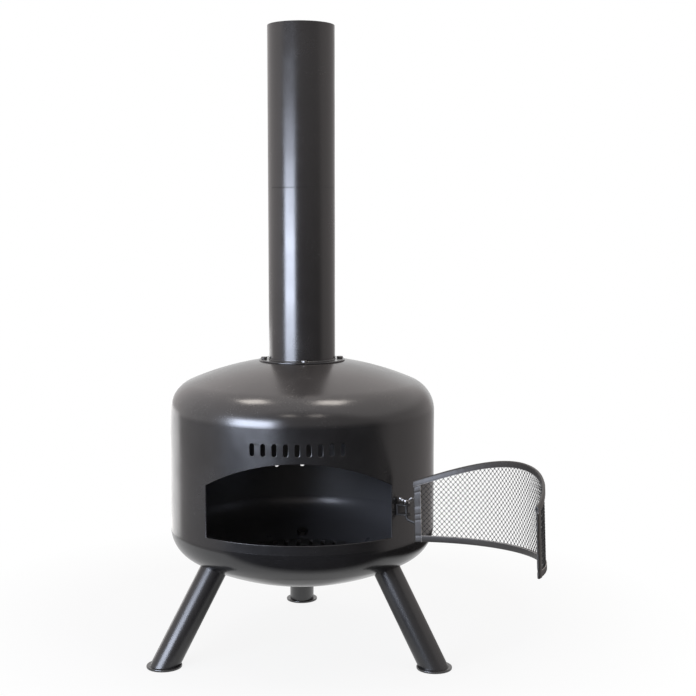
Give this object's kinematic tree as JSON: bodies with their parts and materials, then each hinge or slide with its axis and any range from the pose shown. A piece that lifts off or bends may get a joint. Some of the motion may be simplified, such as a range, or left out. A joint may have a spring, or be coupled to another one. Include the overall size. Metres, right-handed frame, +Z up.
{
  "type": "outdoor fireplace",
  "caption": "Free-standing garden fireplace: a black steel drum with dished ends on splayed tube legs, with a tall flue pipe and a curved mesh spark door on an arched mouth.",
  "frame": {"origin": "on the floor, under the drum's axis", "axes": "+Z up along the drum and the flue, -Y out of the mouth, +X towards the hinge side"},
  "size_m": [0.6774, 0.8734, 1.1701],
  "materials": {
    "wall_paint": "satin high-temperature black paint",
    "dome_paint": "satin high-temperature black paint",
    "bowl_paint": "satin high-temperature black paint",
    "flange_paint": "satin high-temperature black paint",
    "flue_paint": "satin high-temperature black paint",
    "leg_paint": "satin high-temperature black paint",
    "foot_paint": "satin high-temperature black paint",
    "bolt_steel": "dark zinc",
    "nut_steel": "bright zinc",
    "plug_steel": "bare steel",
    "hinge_steel": "satin black paint",
    "door_strip": "satin black paint",
    "mesh_wire": "satin black paint",
    "grate_iron": "bare dark iron"
  },
  "bodies": {
    "stove": {"drum_wall": "wall_paint", "top_dome": "dome_paint", "bottom_bowl": "bowl_paint", "chimney_flange": "flange_paint", "flange_bolts": "bolt_steel", "flange_nuts": "bolt_steel", "chimney_lower": "flue_paint", "leg_bolts": "bolt_steel", "leg_washers": "bolt_steel", "hinge_bracket": "hinge_steel", "leg_left": "leg_paint", "leg_plug_left": "plug_steel", "foot_left": "foot_paint", "leg_right": "leg_paint", "leg_plug_right": "plug_steel", "foot_right": "foot_paint", "leg_back": "leg_paint", "leg_plug_back": "plug_steel", "foot_back": "foot_paint"},
    "flue_top_section": {"chimney_upper": "flue_paint", "chimney_sleeve": "flue_paint"},
    "spark_door": {"hinge_rod": "hinge_steel", "hinge_wing_nut": "nut_steel", "door_hinge_stile": "door_strip", "door_free_stile": "door_strip", "door_top_rail": "door_strip", "door_bottom_rail": "door_strip", "door_mesh": "mesh_wire"},
    "fire_grate": {"grate_ring": "grate_iron", "grate_bars": "grate_iron", "grate_feet": "grate_iron"}
  },
  "joints": [
    {"name": "door_swing", "type": "hinge", "parent": "stove", "child": "spark_door", "pos_m": [0.19049, -0.18423, 0.3025], "axis": [-0.0351, 0.034, 0.9988], "range_deg": [-122.5, 35]},
    {"name": "flue_lift", "type": "slide", "parent": "stove", "child": "flue_top_section", "axis": [0, 0, 1], "range_m": [0, 0.06]},
    {"name": "grate_lift", "type": "slide", "parent": "stove", "child": "fire_grate", "axis": [0, 0, 1], "range_m": [0, 0.09]}
  ]
}
